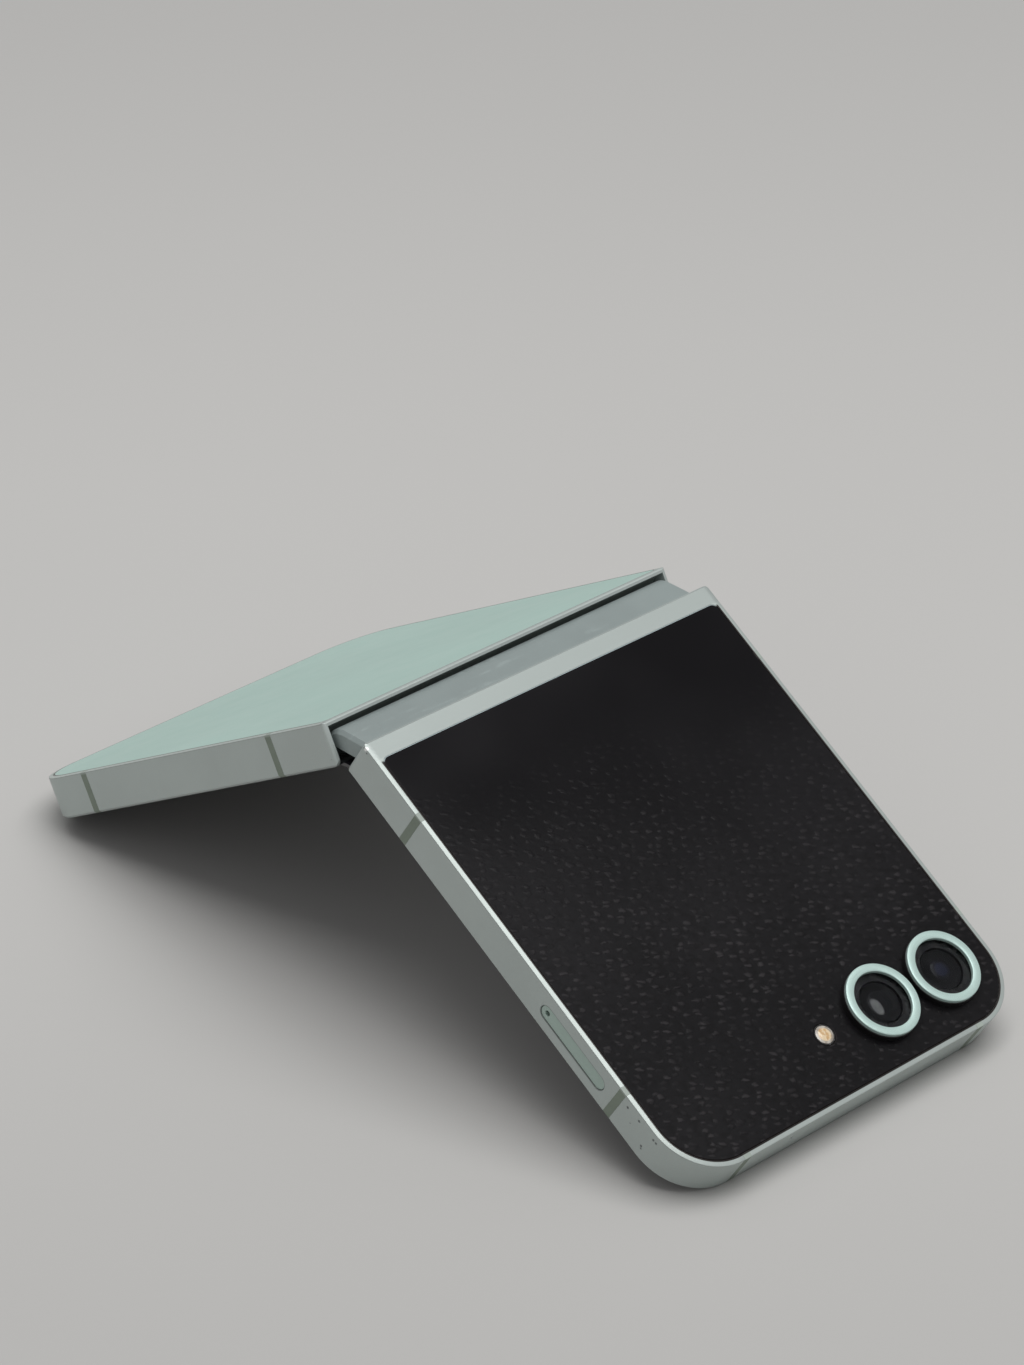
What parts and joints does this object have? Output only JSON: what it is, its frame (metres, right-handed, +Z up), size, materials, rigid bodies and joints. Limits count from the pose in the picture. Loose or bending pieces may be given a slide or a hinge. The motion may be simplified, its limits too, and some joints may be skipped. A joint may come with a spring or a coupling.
{
  "type": "foldable smartphone",
  "caption": "Clamshell folding phone standing like a tent, with a turning hinge cover, bending screen, ringed rear cameras, card tray and side keys.",
  "frame": {"origin": "middle of the footprint, on the surface that the far edges of both halves stand on", "axes": "+X from the hinge towards the camera end, +Y along the hinge towards the keys, +Z up"},
  "size_m": [0.1476, 0.072, 0.0475],
  "materials": {
    "satin_alloy": "satin, anodised pale green grey",
    "polished_alloy": "fine turned, anodised pale mint",
    "antenna_resin": "matte",
    "black_glass": "glossy, with a soft pebbled grain",
    "mint_glass": "matte back-painted glass",
    "camera_glass": "polished",
    "flash_resin": "clear over warm white",
    "screen": "glossy, switched off",
    "bezel_plastic": "matte",
    "black_plastic": "satin",
    "cell": "foil pouch",
    "board": "solder resist",
    "copper": "bare copper",
    "brass": "machined",
    "steel": "brushed"
  },
  "bodies": {
    "hinge_spine": {"hinge_cover": "satin_alloy", "hinge_bracket_front": "steel", "hinge_bracket_rear": "steel", "hinge_pins": "steel", "bracket_screws": "steel", "screen_fold": "screen"},
    "upper_half": {"upper_frame": "satin_alloy", "upper_antenna_bands": "antenna_resin", "cover_glass": "black_glass", "cover_screen": "screen", "camera_base_wide": "black_plastic", "camera_base_ultrawide": "black_plastic", "camera_ring_wide": "polished_alloy", "camera_ring_ultrawide": "polished_alloy", "camera_window_wide": "camera_glass", "camera_window_ultrawide": "camera_glass", "camera_module_wide": "black_plastic", "camera_module_ultrawide": "black_plastic", "flash_lens": "flash_resin", "upper_battery": "cell", "main_board": "board", "card_reader": "steel", "earpiece": "black_plastic", "front_camera": "black_plastic", "upper_screen": "screen", "upper_bezel": "bezel_plastic", "upper_magnets": "steel", "upper_hinge_arm_front": "steel", "upper_hinge_arm_rear": "steel", "upper_screws": "steel", "key_switches": "brass"},
    "lower_half": {"lower_frame": "satin_alloy", "lower_antenna_bands": "antenna_resin", "back_glass": "mint_glass", "charging_coil": "copper", "lower_battery": "cell", "lower_board": "board", "port_shell": "steel", "port_tongue": "black_plastic", "loudspeaker": "black_plastic", "vibration_motor": "steel", "lower_screen": "screen", "lower_bezel": "bezel_plastic", "lower_magnets": "steel", "lower_hinge_arm_front": "steel", "lower_hinge_arm_rear": "steel", "lower_screws": "steel"},
    "upper_idlers": {"idler_gears_upper": "brass"},
    "lower_idlers": {"idler_gears_lower": "brass"},
    "power_key": {"power_key": "satin_alloy"},
    "volume_key": {"volume_key": "satin_alloy"},
    "card_tray": {"card_tray": "satin_alloy"}
  },
  "joints": [
    {"name": "fold", "type": "hinge", "parent": "hinge_spine", "child": "lower_half", "pos_m": [-0.002, 0, 0.04255], "axis": [0, -1, 0], "range_deg": [-31, 59]},
    {"name": "fold_upper", "type": "hinge", "parent": "hinge_spine", "child": "upper_half", "pos_m": [0.002, 0, 0.04255], "axis": [0, 1, 0], "range_deg": [-31, 59], "deforming": ["screen_fold"]},
    {"name": "upper_idler_turn", "type": "hinge", "parent": "hinge_spine", "child": "upper_idlers", "pos_m": [0.00102, 0, 0.04372], "axis": [0, -1, 0], "range_deg": [-15.5, 29.5]},
    {"name": "lower_idler_turn", "type": "hinge", "parent": "hinge_spine", "child": "lower_idlers", "pos_m": [-0.00102, 0, 0.04372], "axis": [0, -1, 0], "range_deg": [-29.5, 15.5]},
    {"name": "power_press", "type": "slide", "parent": "upper_half", "child": "power_key", "axis": [0, -1, 0], "range_m": [0, 0.00025], "stiffness_N_per_m": 2000, "springref_m": -0.0003},
    {"name": "volume_press", "type": "slide", "parent": "upper_half", "child": "volume_key", "axis": [0, -1, 0], "range_m": [0, 0.00025], "stiffness_N_per_m": 2000, "springref_m": -0.0003},
    {"name": "tray_slide", "type": "slide", "parent": "upper_half", "child": "card_tray", "axis": [0, -1, 0], "range_m": [0, 0.02]}
  ],
  "couplings": [
    {"joint": "fold_upper", "follows": "fold", "ratio": 1},
    {"joint": "upper_idler_turn", "follows": "fold", "ratio": 0.5},
    {"joint": "lower_idler_turn", "follows": "fold", "ratio": -0.5}
  ]
}
